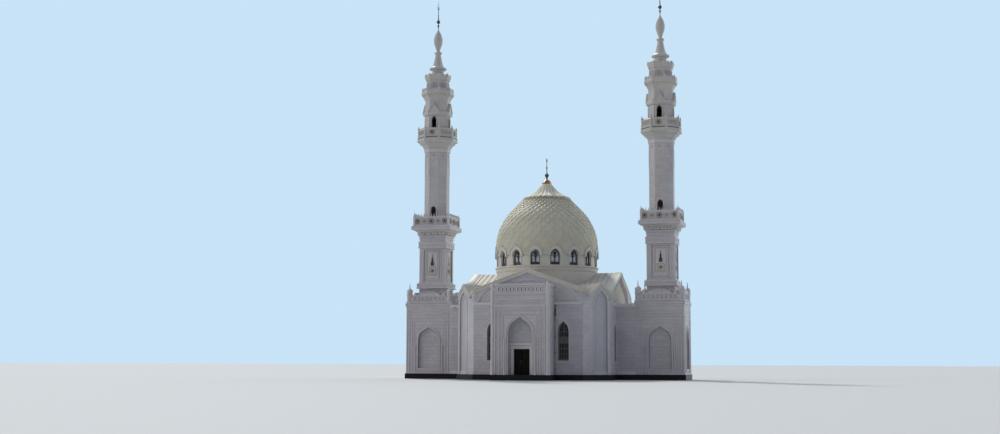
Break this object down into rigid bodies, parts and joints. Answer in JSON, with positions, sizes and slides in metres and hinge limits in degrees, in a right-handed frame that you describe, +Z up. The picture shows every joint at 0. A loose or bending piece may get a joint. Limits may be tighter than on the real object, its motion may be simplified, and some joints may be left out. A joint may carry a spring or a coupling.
{
  "type": "domed mosque building with two minarets, 1:2 scale model",
  "caption": "Domed hall with crossing keel-vaulted roofs, a tall entrance portal with opening doors, and a slender balconied minaret on each side.",
  "frame": {"origin": "middle of the plinth's underside", "axes": "+Z up, the entrance portal faces -Y, +X to the right of someone facing the portal"},
  "size_m": [16.67, 11.285, 23.25],
  "materials": {
    "marble": "honed",
    "granite": "polished",
    "roof": "satin",
    "dome": "satin",
    "metal": "satin",
    "door": "satin",
    "glass": "clear"
  },
  "bodies": {
    "building": {"plinth": "granite", "front_gable": "marble", "back_wall": "marble", "front_wall_left": "marble", "front_wall_right": "marble", "side_wall_left": "marble", "side_wall_right": "marble", "corner_wall_front_left": "marble", "corner_wall_front_right": "marble", "corner_wall_back_left": "marble", "corner_wall_back_right": "marble", "roof_front": "roof", "roof_back": "roof", "roof_left": "roof", "roof_right": "roof", "portal_head": "marble", "portal_pier_left": "marble", "portal_pier_right": "marble", "window_glass": "glass", "drum": "marble", "drum_glass": "glass", "dome_shell": "dome", "dome_cap": "dome", "dome_finial": "metal", "minaret_left_tower": "marble", "minaret_left_tower_crown": "marble", "minaret_left_square_shaft": "marble", "minaret_left_lower_balcony": "marble", "minaret_left_octagon_shaft": "marble", "minaret_left_upper_balcony": "marble", "minaret_left_upper_stage": "marble", "minaret_left_spire": "dome", "minaret_left_finial": "metal", "minaret_right_tower": "marble", "minaret_right_tower_crown": "marble", "minaret_right_square_shaft": "marble", "minaret_right_lower_balcony": "marble", "minaret_right_octagon_shaft": "marble", "minaret_right_upper_balcony": "marble", "minaret_right_upper_stage": "marble", "minaret_right_spire": "dome", "minaret_right_finial": "metal"},
    "left_door": {"door_leaf_left": "door"},
    "right_door": {"door_leaf_right": "door"}
  },
  "joints": [
    {"name": "left_door_hinge", "type": "hinge", "parent": "building", "child": "left_door", "pos_m": [-0.4145, -5.0725, 1], "axis": [0, 0, 1], "range_deg": [0, 90]},
    {"name": "right_door_hinge", "type": "hinge", "parent": "building", "child": "right_door", "pos_m": [0.4145, -5.0725, 1], "axis": [0, 0, -1], "range_deg": [0, 90]}
  ]
}
